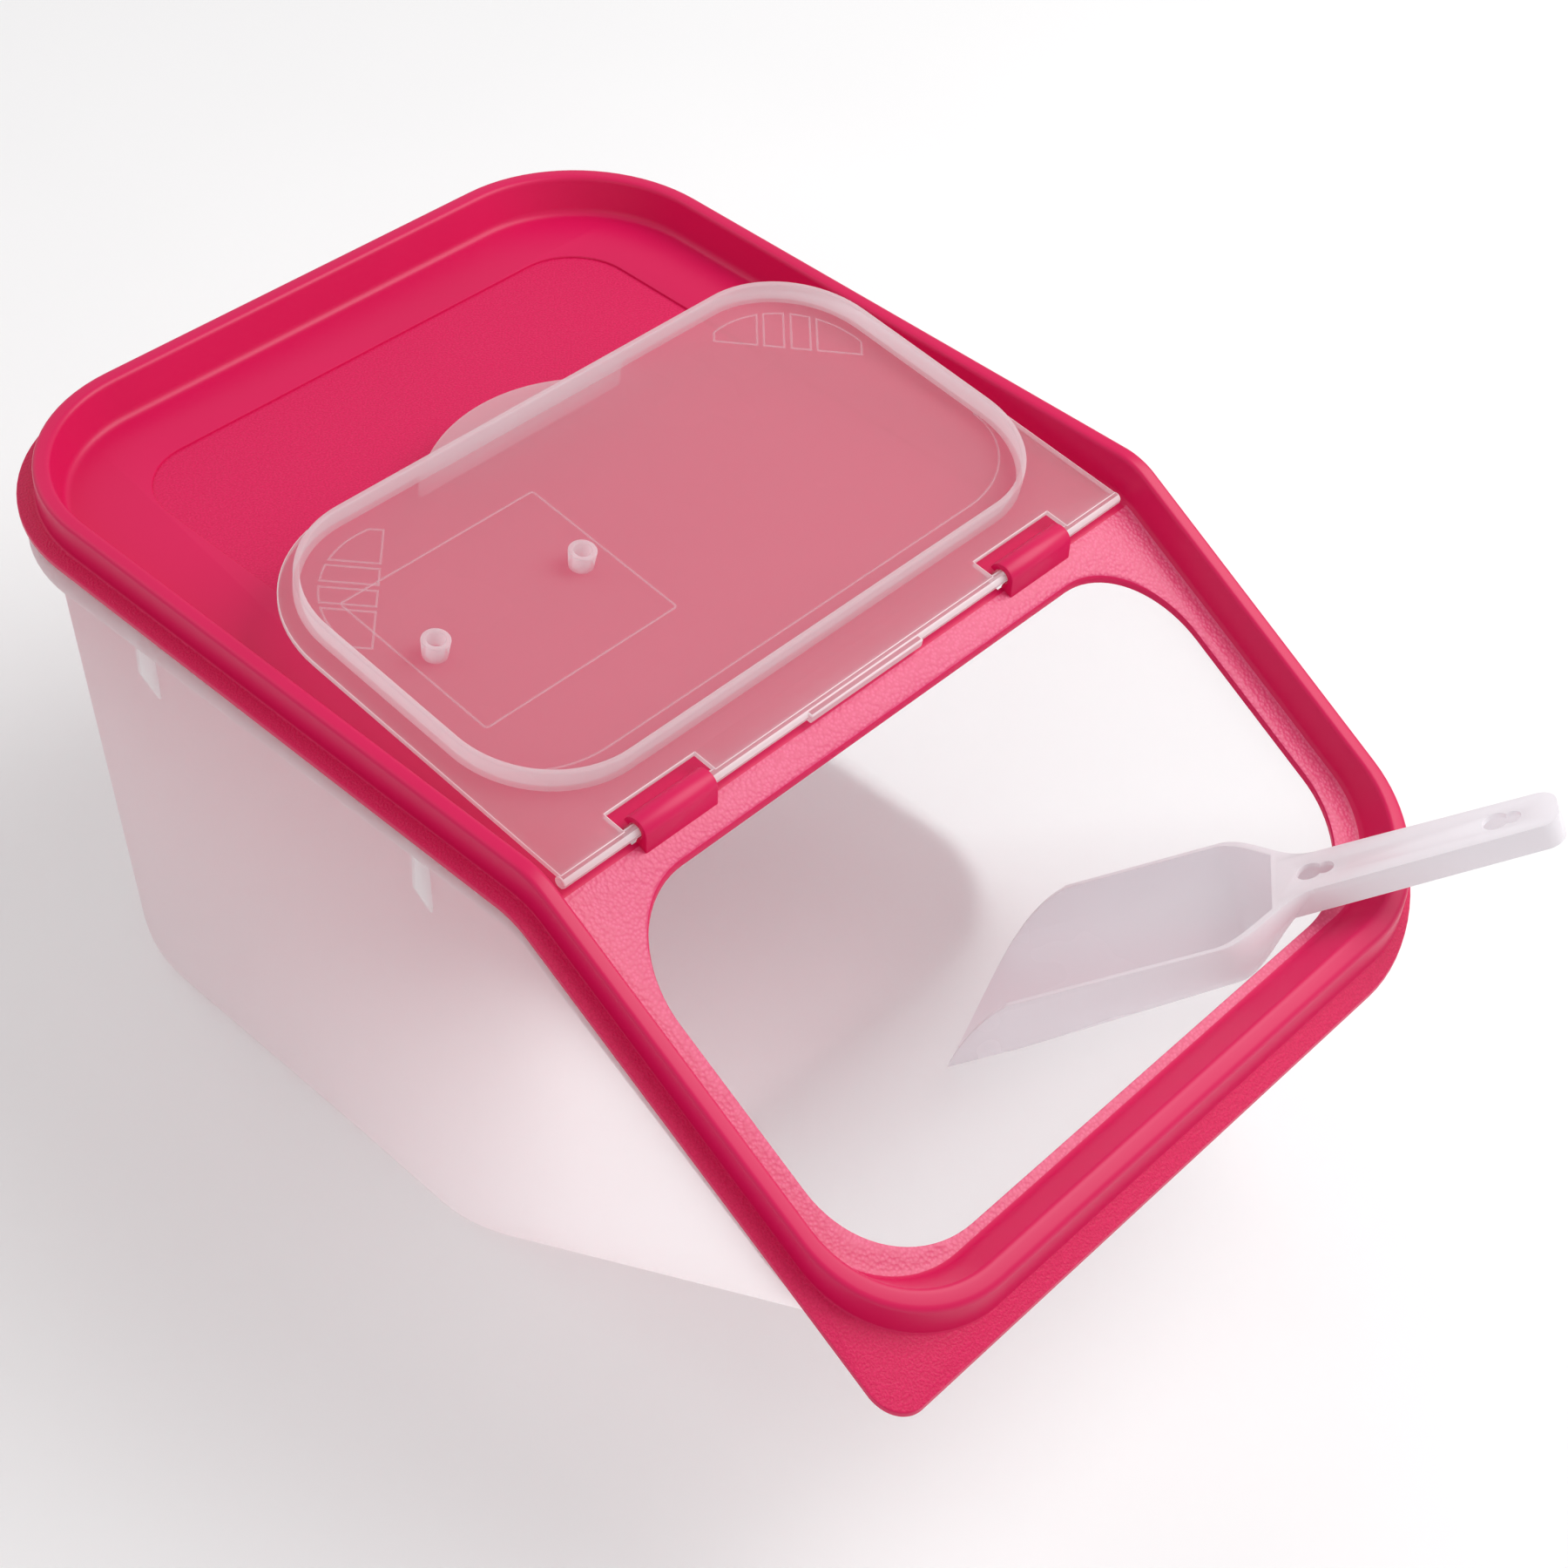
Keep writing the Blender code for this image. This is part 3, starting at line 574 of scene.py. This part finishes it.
def flap_outline():
    along = 0.2 * MM
    points = [(-FLAP_HALF, along)]
    for side in (-1, 1):
        low, high = side * HOOK_X - NOTCH_HALF, side * HOOK_X + NOTCH_HALF
        points += [(low, along), (low, NOTCH_DEPTH), (high, NOTCH_DEPTH), (high, along)]
    points.append((FLAP_HALF, along))
    radii = (FLAP_CORNER, FLAP_CORNER)
    points += arc((FLAP_HALF - FLAP_CORNER, FLAP_LENGTH - FLAP_CORNER), radii, 0, 90)
    return points + arc((-FLAP_HALF + FLAP_CORNER, FLAP_LENGTH - FLAP_CORNER), radii, 90, 90)


def tab_outline():
    radius = (TAB_HALF**2 + TAB_REACH**2) / (2 * TAB_REACH)
    spread = math.degrees(math.asin(TAB_HALF / radius))
    points = arc((0, FLAP_LENGTH + TAB_REACH - radius), (radius, radius), 90 - spread, 2 * spread, 32)
    return points + [(-TAB_HALF, FLAP_LENGTH - TAB_WALL * 0.8), (TAB_HALF, FLAP_LENGTH - TAB_WALL * 0.8)]


def shifted(outline, by):
    """An outline moved out by a distance along its own normals."""
    made = []
    for index, point in enumerate(outline):
        before, after = Vector(outline[index - 1]), Vector(outline[(index + 1) % len(outline)])
        one, other = (Vector(point) - before).normalized(), (after - Vector(point)).normalized()
        turn = one + other
        normal = Vector((turn.y, -turn.x)).normalized()
        reach = max(normal.dot(Vector((one.y, -one.x))), 0.5)
        made.append(tuple(Vector(point) + normal * by / reach))
    return made


def ridge(outline, face):
    """A low moulded line along an outline."""
    half, top = LINE_WIDTH / 2, face + LINE_HEIGHT
    rings = [
        level_ring(shifted(outline, half), face - LINE_SUNK),
        level_ring(shifted(outline, half), face + LINE_HEIGHT * LINE_SHOULDER),
        level_ring(shifted(outline, half * LINE_CREST), top),
        level_ring(shifted(outline, -half * LINE_CREST), top),
        level_ring(shifted(outline, -half), face + LINE_HEIGHT * LINE_SHOULDER),
        level_ring(shifted(outline, -half), face - LINE_SUNK),
    ]
    return loft(rings, closed_ends=False)


def grip_outline(low, high, side):
    """One cell of the grip in a free corner, from a chord across the corner out to an arc."""
    steps = 10
    spots = [low + (high - low) * step / steps for step in range(steps + 1)]
    outer = [(spot, math.sqrt(max(GRIP_RADIUS**2 - spot**2, GRIP_CHORD**2))) for spot in spots]
    cell = [(low, GRIP_CHORD), (high, GRIP_CHORD)] + outer[::-1]
    slant = math.sqrt(0.5)
    centre = (side * (FLAP_HALF - FLAP_CORNER), FLAP_LENGTH - FLAP_CORNER)
    points = []
    for along, out in cell:
        across = side * (out - along) * slant if side > 0 else (along - out) * slant
        points.append((centre[0] + across, centre[1] + (out + along) * slant))
    gaps = [(Vector(point) - Vector(points[index - 1])).length for index, point in enumerate(points)]
    clean = [point for point, gap in zip(points, gaps) if gap > SAME_PLACE]
    return clean[::-1] if side > 0 else clean


def tube(centre, radii, low, high):
    foot, outer, bore = (circle(radius, centre) for radius in (radii[0] * PEG_TAPER, *radii))
    rings = [level_ring(foot, low), level_ring(outer, high), level_ring(bore, high), level_ring(bore, low)]
    return loft(softened(rings, (0, EDGE_ROUND, FINE_ROUND, 0), around=True), closed_ends=False)


def paint_flap(flap, placed):
    """The flat faces let most light through, the plate's edges the least, and its walls are between them:
    the edges' nearly opaque white is a painted highlight, and the walls' higher opacity paints their
    stronger reflection at a slant.
    """
    back = placed.inverted()
    for face in flap.data.polygons:
        height = (back @ face.center).z
        upright = (back.to_3x3() @ face.normal).z
        if FLAP_FACES[0] - LEVEL_MARGIN < height < FLAP_FACES[1] + LEVEL_MARGIN:
            face.material_index = 0 if abs(upright) > 0.95 else 2
        else:
            face.material_index = 1


def open_line(path, face):
    """A low moulded line along an open path."""

    def strip(half):
        out, back = [], []
        for index, point in enumerate(path):
            before, after = path[max(index - 1, 0)], path[min(index + 1, len(path) - 1)]
            way = (Vector(after) - Vector(before)).normalized() * half
            out.append((point[0] + way.y, point[1] - way.x))
            back.append((point[0] - way.y, point[1] + way.x))
        return out + back[::-1]

    half = LINE_WIDTH / 2
    levels = ((half, -LINE_SUNK), (half, LINE_HEIGHT * LINE_SHOULDER), (half * LINE_CREST, LINE_HEIGHT))
    return loft([level_ring(strip(wide), face + height) for wide, height in levels])


def hinge_side_line():
    """Path of the line inside the seal wall, along the hinge and up into the wall at both ends."""
    half, front = SEAL["half"] - SEAL_WALL - PANEL_LINE_GAP, SEAL["front"] + PANEL_LINE_INSET
    radii = PANEL_LINE_CORNER
    path = arc((-half + radii[0], front + radii[1]), radii, 180, 90)
    return path + arc((half - radii[0], front + radii[1]), radii, 270, 90)


def make_flap(finish, line_finish):
    placed = Matrix.Translation((0, HINGE_Y, HINGE_Z)) @ Matrix.Rotation(FLAP_TILT, 4, "X")
    flap = bevel(to_object(prism(flap_outline(), *FLAP_FACES), "flap_shell"), PLATE_ROUND)
    settle(flap)
    rod = bar_along_x(circle(ROD_RADIUS), -ROD_HALF, ROD_HALF)
    base = sum(FLAP_FACES) / 2
    outside = rounded(SEAL, ((SEAL_CORNER, SEAL_CORNER),) * 4)
    inside = rounded(grown(SEAL, -SEAL_WALL), ((SEAL_CORNER - SEAL_WALL,) * 2,) * 4)
    rings = [level_ring(outline, height) for outline, height in (
        (outside, base), (outside, SEAL_TOP), (inside, SEAL_TOP), (inside, base))]
    seal = loft(softened(rings, (0, SEAL_ROUND, SEAL_ROUND, 0), around=True), closed_ends=False)
    stop = block((-STOP_HALF, -STOP_REACH, -STOP_RISE), (STOP_HALF, 0, STOP_RISE))
    wall_low = (-TAB_HALF, FLAP_LENGTH - TAB_WALL, TAB_FACES[0])
    wall = block(wall_low, (TAB_HALF, FLAP_LENGTH - SAME_PLACE, base))
    lens = prism(tab_outline(), *TAB_FACES)
    shapes = {"rod": rod, "stop": stop, "tab_wall": wall, "tab_lens": lens}
    for name, shape in shapes.items():
        combine(flap, bevel(to_object(shape, name), EDGE_ROUND), "UNION")
    combine(flap, to_object(seal, "seal_wall"), "UNION")
    for place in PEG_PLACES:
        combine(flap, to_object(tube(place, PEG_RADII, base, PEG_TOP), "peg"), "UNION")
    wide, proud, tall = SNAP_SIZE
    heights = (SEAL_TOP - 2 * tall, SEAL_TOP - tall)
    for x in SNAPS_FREE:
        low = (x - wide, SEAL["back"] - SEAL_WALL / 2, heights[0])
        snap = to_object(block(low, (x + wide, SEAL["back"] + proud, heights[1])), "snap")
        combine(flap, bevel(snap, SNAP_ROUND), "UNION")
    flap.data.transform(placed)
    finish_piece(flap, "flap", finish)
    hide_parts("flap")
    paint_flap(flap, placed)

    face = FLAP_FACES[1]
    label = rounded(LABEL, ((LABEL_CORNER, LABEL_CORNER),) * 4)
    label = [(x + LABEL["middle"], y) for x, y in label]
    outlines = {"label_line": label}
    for side, hand in ((-1, "left"), (1, "right")):
        for number, (low, high) in enumerate(GRIP_CELLS):
            outlines[f"grip_line_{hand}_{number}"] = grip_outline(low, high, side)
    lines = {name: ridge(outline, face) for name, outline in outlines.items()}
    lines["panel_line"] = open_line(hinge_side_line(), face)
    for name, shape in lines.items():
        line = to_object(shape, name)
        line.data.transform(placed)
        finish_piece(line, "flap", line_finish)


# Scoop, made in its own frame: X along its axis, Y across it, Z up out of the bowl


def scoop_frame():
    level = (Vector((0, 0, 1)) - SCOOP_AXIS * SCOOP_AXIS.z).normalized()
    across = level.cross(SCOOP_AXIS)
    up = level * math.cos(SCOOP_ROLL) + across * math.sin(SCOOP_ROLL)
    across = up.cross(SCOOP_AXIS)
    turn = Matrix((SCOOP_AXIS, across, up)).transposed()
    return Matrix.Translation(SCOOP_FRONT) @ turn.to_4x4()


def ease(share):
    share = min(max(share, 0), 1)
    return share * share * (3 - 2 * share)


def bowl_section(x, inset):
    """Half width and depth of the bowl at x, less a wall."""
    start, end = SHOULDER
    shrink = ease((x + inset - start) / (end - start))
    half = BOWL_HALF + (HANDLE_HALF[0] - BOWL_HALF) * shrink
    depth = BOWL_DEPTH[0] + (BOWL_DEPTH[1] - BOWL_DEPTH[0]) * max(x / BOWL_LENGTH, 0)
    depth += (HANDLE_DEPTH - depth) * shrink
    return half - inset, depth - inset


def bowl(inset, top, end):
    """A solid filled bowl: U sections from in front of the lip to the end, narrowing at the shoulder."""
    around, along = 64, 24
    straight = SHOULDER[0] - inset
    places = [-LIP_TIP * LIP_ROOM - inset, 0, straight / 2]
    places += [straight + (end - straight) * step / along for step in range(along + 1)]
    rings = []
    for x in places:
        half, depth = bowl_section(x, inset)
        ring = [(x, -half, top), (x, half, top)] if top else []
        for step in range(around + 1):
            turn = math.pi * (around - step) / around
            wide = math.copysign(abs(math.cos(turn)) ** BOWL_ROUND, math.cos(turn))
            ring.append((x, -half * wide, -depth * math.sin(turn) ** BOWL_ROUND))
        rings.append(ring)
    return loft(rings)


def lip_cutter():
    """What is cut off the bowl's front: its lip falls from the rim to the tip in a slanted curve."""
    steps, rise, reach = 48, 2 * MM, 32 * MM
    depths = [0.015 + 1.2 * (step / steps) ** 1.5 for step in range(steps + 1)]
    curve = [(LIP_TOP - (LIP_TOP + LIP_TIP) * deep**LIP_CURVE, -BOWL_DEPTH[0] * deep) for deep in depths]
    front = -LIP_TIP * 2
    outline = [(front, rise), (curve[0][0] + rise, rise)] + curve + [(front, curve[-1][1])]
    return loft([[(x + LIP_SKEW * y, y, z) for x, z in outline] for y in (-reach, reach)])


def handle_outline(inset, start, end):
    near, far = HANDLE_HALF[0] - inset, HANDLE_HALF[1] - inset
    radii = (HANDLE_CORNER - inset, HANDLE_CORNER - inset)
    middle = end - HANDLE_CORNER
    low = arc((middle, -far + radii[1]), radii, 270, 90, 12)
    high = arc((middle, far - radii[1]), radii, 0, 90, 12)
    return [(start, -near)] + low + high + [(start, near)]


def make_scoop(finish):
    scoop = to_object(bowl(0, 0, SHOULDER[1]), "scoop_shell")
    handle = prism(handle_outline(0, BOWL_LENGTH - SCOOP_WALL, HANDLE_END), -HANDLE_DEPTH, 0)
    inside = handle_outline(SCOOP_WALL, BOWL_LENGTH + SCOOP_WALL, HANDLE_END)
    channel = prism(inside, -2 * TOOL_REACH, -SCOOP_WALL)
    combine(scoop, to_object(handle, "handle"), "UNION")
    hollow = bowl(SCOOP_WALL, CUT_OVER, BOWL_LENGTH - SCOOP_WALL * 2)
    combine(scoop, to_object(hollow, "bowl_hollow"), "DIFFERENCE")
    combine(scoop, to_object(lip_cutter(), "lip"), "DIFFERENCE")
    combine(scoop, to_object(channel, "handle_channel"), "DIFFERENCE")
    for place in HOLE_PLACES:
        for offset, radius in zip((-HOLE_SPREAD / 2, HOLE_SPREAD / 2), HOLE_RADII):
            hole = prism(circle(radius, (place + offset, 0)), -CUT_OVER, CUT_OVER)
            combine(scoop, to_object(hole, "peg_hole"), "DIFFERENCE")
    bevel(scoop, FINE_ROUND, 2, 50)
    settle(scoop)
    scoop.data.transform(scoop_frame())
    finish_piece(scoop, "scoop", finish)
    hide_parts("scoop")


# Materials


class Nodes:
    """A material and short ways to add nodes to it."""

    def __init__(self, name):
        self.material = bpy.data.materials.new(name)
        self.material.use_nodes = True
        self.tree = self.material.node_tree
        self.shader = self.tree.nodes["Principled BSDF"]
        self.place = self.add("ShaderNodeTexCoord").outputs["Object"]

    def add(self, kind, **values):
        node = self.tree.nodes.new(kind)
        for key, value in values.items():
            setattr(node, key, value)
        return node

    def link(self, start, end):
        self.tree.links.new(start, end)

    def noise(self, scale, detail=2.0, roughness=0.5):
        node = self.add("ShaderNodeTexNoise")
        node.inputs["Scale"].default_value = scale
        node.inputs["Detail"].default_value = detail
        node.inputs["Roughness"].default_value = roughness
        self.link(self.place, node.inputs["Vector"])
        return node.outputs["Fac"]

    def cells(self, scale):
        node = self.add("ShaderNodeTexVoronoi", feature="F1")
        node.inputs["Scale"].default_value = scale
        self.link(self.place, node.inputs["Vector"])
        return node.outputs["Distance"]

    def ramp(self, fac, low, high, stops=(0.35, 0.65)):
        node = self.add("ShaderNodeValToRGB")
        for element, place, colour in zip(node.color_ramp.elements, stops, (low, high)):
            element.position = place
            element.color = (*colour, 1)
        self.link(fac, node.inputs["Fac"])
        return node.outputs["Color"]

    def span(self, fac, low, high, start=0.3, end=0.7):
        node = self.add("ShaderNodeMapRange")
        for key, value in (("From Min", start), ("From Max", end), ("To Min", low), ("To Max", high)):
            node.inputs[key].default_value = value
        self.link(fac, node.inputs["Value"])
        return node.outputs["Result"]

    def bump(self, fac, strength, distance, before=None):
        node = self.add("ShaderNodeBump")
        node.inputs["Strength"].default_value = strength
        node.inputs["Distance"].default_value = distance
        self.link(fac, node.inputs["Height"])
        if before:
            self.link(before, node.inputs["Normal"])
        return node.outputs["Normal"]


WORLD_COLOUR = (1.0, 0.985, 0.99, 1)
WORLD_STRENGTH = 0.58
FLOOR_SHADES = ((0.95, 0.95, 0.95), (0.97, 0.97, 0.97))
PINK = (0.70, 0.004, 0.097)
PINK_LIGHT = (0.76, 0.010, 0.112)
PINK_DEEP = (0.65, 0.0028, 0.083)
# The slope's two leather pinks are paler than the plastic's own pink: a painted sheen of the key light, with
# the grain varying between them.
PINK_SHEEN_PALE = (0.72, 0.034, 0.150)
PINK_SHEEN_BRIGHTER = (0.80, 0.075, 0.215)


def pink(name, roughness, grain, shine=0.35):
    """Moulded pink plastic. grain is "none", "fine" or "leather"; the leather colours are paler pinks, a
    painted sheen of the key light.
    """
    nodes = Nodes(name)
    shader = nodes.shader
    cloudy = nodes.noise(9, 3)
    if grain == "fine":
        speck = nodes.noise(1500, 1.5, 0.6)
        colour = nodes.ramp(speck, PINK_DEEP, PINK_LIGHT, (0.40, 0.72))
        normal = nodes.bump(speck, 0.8, 0.3 * MM)
    elif grain == "leather":
        cell = nodes.cells(900)
        # the leather grain's paler pinks are a painted sheen of the key light on the slope
        colour = nodes.ramp(cell, PINK_SHEEN_BRIGHTER, PINK_SHEEN_PALE, (0.1, 0.6))
        normal = nodes.bump(cell, 0.5, 0.3 * MM)
    else:
        colour = nodes.ramp(cloudy, PINK_DEEP, PINK, (0.3, 0.7))
        normal = nodes.bump(nodes.noise(260, 2), 0.08, 0.1 * MM)
    nodes.link(colour, shader.inputs["Base Color"])
    nodes.link(normal, shader.inputs["Normal"])
    nodes.link(nodes.span(cloudy, roughness - 0.03, roughness + 0.05), shader.inputs["Roughness"])
    shader.inputs["Specular IOR Level"].default_value = shine
    return nodes.material


def milky(name, colour, roughness, through, alpha=1.0, waviness=0.06):
    """Milky plastic that passes scattered light: through is the share that comes out on the other side."""
    nodes = Nodes(name)
    shader = nodes.shader
    cloudy = nodes.noise(14, 3)
    darker = tuple(value * 0.97 for value in colour)
    nodes.link(nodes.ramp(cloudy, darker, colour, (0.3, 0.7)), shader.inputs["Base Color"])
    nodes.link(nodes.span(cloudy, roughness - 0.04, roughness + 0.05), shader.inputs["Roughness"])
    normal = nodes.bump(nodes.noise(55, 2), waviness, 0.4 * MM)
    nodes.link(normal, shader.inputs["Normal"])
    shader.inputs["Alpha"].default_value = alpha
    if through:
        glow = nodes.add("ShaderNodeBsdfTranslucent")
        glow.inputs["Color"].default_value = (*colour, 1)
        mix = nodes.add("ShaderNodeMixShader")
        mix.inputs["Fac"].default_value = through
        nodes.link(shader.outputs["BSDF"], mix.inputs[1])
        nodes.link(glow.outputs["BSDF"], mix.inputs[2])
        nodes.link(mix.outputs["Shader"], nodes.tree.nodes["Material Output"].inputs["Surface"])
    return nodes.material


# Studio


def make_studio():
    scene = bpy.context.scene
    scene.view_settings.view_transform = "Standard"
    scene.view_settings.look = "None"
    world = bpy.data.worlds.new("studio")
    scene.world = world
    world.use_nodes = True
    world.node_tree.nodes["Background"].inputs["Color"].default_value = WORLD_COLOUR
    world.node_tree.nodes["Background"].inputs["Strength"].default_value = WORLD_STRENGTH

    bpy.ops.mesh.primitive_plane_add(size=12, location=(0, 0, -0.2 * MM))
    floor = bpy.context.object
    floor.name = "studio_floor"
    nodes = Nodes("floor_paper")
    shade = nodes.ramp(nodes.noise(3), *FLOOR_SHADES)
    nodes.link(shade, nodes.shader.inputs["Base Color"])
    nodes.shader.inputs["Roughness"].default_value = 0.9
    nodes.shader.inputs["Specular IOR Level"].default_value = 0.1
    floor.data.materials.append(nodes.material)

    target = Vector((0, -0.02, 0.1))
    softbox("key_softbox", target, (0.55, -0.39, 0.74), 1.5, 1.1, 14)
    softbox("back_softbox", target, (-0.25, 0.95, 0.9), 2.2, 1.6, 5)
    softbox("left_softbox", target, (-1.0, -0.25, 0.55), 2.0, 1.2, 2)


def softbox(name, target, direction, distance, size, power):
    lamp = bpy.data.lights.new(name, "AREA")
    lamp.shape = "SQUARE"
    lamp.size = size
    lamp.energy = power
    made = bpy.data.objects.new(name, lamp)
    way = Vector(direction).normalized()
    made.location = target + way * distance
    made.rotation_euler = way.to_track_quat("Z", "Y").to_euler()
    bpy.context.scene.collection.objects.link(made)


def make_camera():
    lens = bpy.data.cameras.new("camera")
    lens.lens = CAMERA_LENS
    lens.sensor_width = 36
    made = bpy.data.objects.new("camera", lens)
    azimuth, elevation = CAMERA_AZIMUTH, CAMERA_ELEVATION
    flat = math.cos(elevation)
    back = Vector((math.sin(azimuth) * flat, -math.cos(azimuth) * flat, math.sin(elevation)))
    level_right = Vector((0, 0, 1)).cross(back).normalized()
    level_up = back.cross(level_right)
    right = level_right * math.cos(CAMERA_ROLL) + level_up * math.sin(CAMERA_ROLL)
    up = back.cross(right)
    turn = Matrix((right, up, back)).transposed().to_4x4()
    made.matrix_world = Matrix.Translation(CAMERA_PLACE) @ turn
    bpy.context.scene.collection.objects.link(made)
    bpy.context.scene.camera = made


def main():
    make_studio()
    make_camera()
    make_tub(milky("milky_tub", (0.985, 0.978, 0.982), 0.38, 0.90))
    make_cover(
        [
            pink("pink_smooth", 0.36, "none"),
            pink("pink_fine", 0.46, "fine"),
            # the slope's leather material: its paler pinks are a painted sheen
            pink("pink_leather", 0.45, "leather", 0.85),
        ]
    )
    clear = (0.95, 0.92, 0.94)
    make_flap(
        [
            milky("clear_plate", clear, 0.25, 0.4, alpha=0.165),
            # the walls' higher opacity paints their stronger reflection at a slant
            milky("clear_walls", clear, 0.25, 0.4, alpha=0.36),
            # the edges' nearly opaque white is a painted highlight
            milky("clear_edges", (0.97, 0.95, 0.96), 0.22, 0.3, alpha=0.85),
        ],
        milky("clear_lines", clear, 0.3, 0.3, alpha=0.14),
    )
    make_scoop(milky("white_scoop", (0.975, 0.955, 0.98), 0.24, 0.38))


main()
